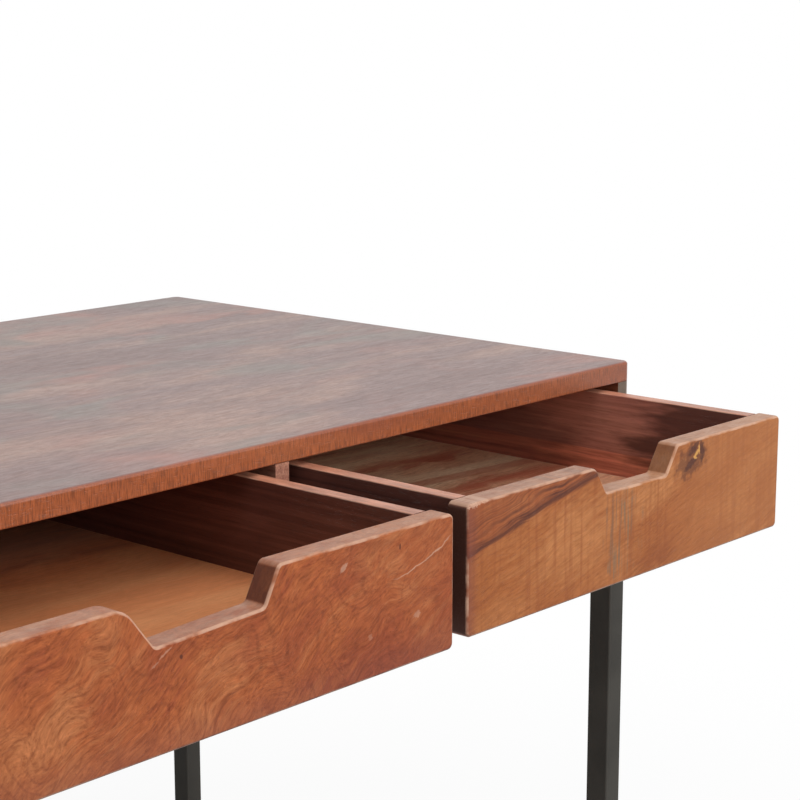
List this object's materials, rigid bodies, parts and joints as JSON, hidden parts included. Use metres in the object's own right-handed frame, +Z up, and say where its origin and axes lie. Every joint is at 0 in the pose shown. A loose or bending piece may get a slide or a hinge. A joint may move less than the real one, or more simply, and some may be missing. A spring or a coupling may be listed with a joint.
{
  "type": "writing desk",
  "caption": "Writing desk with a solid wood case and inset drawers with finger notches, on slim black steel legs.",
  "frame": {"origin": "on the floor, under the middle of the desk's bounding box with its drawers open as in the picture", "axes": "+X along the desk's width, to the right as seen from the front; +Y to the back; +Z up"},
  "size_m": [0.95, 0.838, 0.76],
  "materials": {
    "top_wood": "satin lacquer",
    "case_wood": "satin lacquer",
    "left_front_wood": "satin lacquer",
    "right_front_wood": "satin lacquer",
    "drawer_wood": "satin lacquer",
    "drawer_bottom_wood": "satin lacquer",
    "plain_wood": "satin lacquer",
    "black_steel": "matt powder coat",
    "black_plastic": "matt",
    "screw_steel": "zinc, darkened"
  },
  "bodies": {
    "desk": {"top_board": "top_wood", "left_side_panel": "case_wood", "right_side_panel": "case_wood", "centre_divider": "case_wood", "bottom_board": "case_wood", "back_panel": "case_wood", "case_dowels": "plain_wood", "left_drawer_left_guide": "plain_wood", "left_drawer_right_guide": "plain_wood", "left_drawer_open_stop": "plain_wood", "left_drawer_close_stop": "plain_wood", "right_drawer_left_guide": "plain_wood", "right_drawer_right_guide": "plain_wood", "right_drawer_open_stop": "plain_wood", "right_drawer_close_stop": "plain_wood", "front_left_leg": "black_steel", "back_left_leg": "black_steel", "front_right_leg": "black_steel", "back_right_leg": "black_steel", "front_left_glide": "black_plastic", "back_left_glide": "black_plastic", "front_right_glide": "black_plastic", "back_right_glide": "black_plastic", "left_end_rail": "black_steel", "right_end_rail": "black_steel", "back_rail": "black_steel", "frame_screws": "screw_steel"},
    "left_drawer": {"left_drawer_front": "left_front_wood", "left_drawer_left_side": "drawer_wood", "left_drawer_right_side": "drawer_wood", "left_drawer_back": "drawer_wood", "left_drawer_bottom": "drawer_bottom_wood", "left_drawer_dowels": "plain_wood"},
    "right_drawer": {"right_drawer_front": "right_front_wood", "right_drawer_left_side": "drawer_wood", "right_drawer_right_side": "drawer_wood", "right_drawer_back": "drawer_wood", "right_drawer_bottom": "drawer_bottom_wood", "right_drawer_dowels": "plain_wood"}
  },
  "joints": [
    {"name": "left_drawer_slide", "type": "slide", "parent": "desk", "child": "left_drawer", "axis": [0, -1, 0], "range_m": [-0.188, 0.2435]},
    {"name": "right_drawer_slide", "type": "slide", "parent": "desk", "child": "right_drawer", "axis": [0, -1, 0], "range_m": [-0.181, 0.2505]}
  ]
}
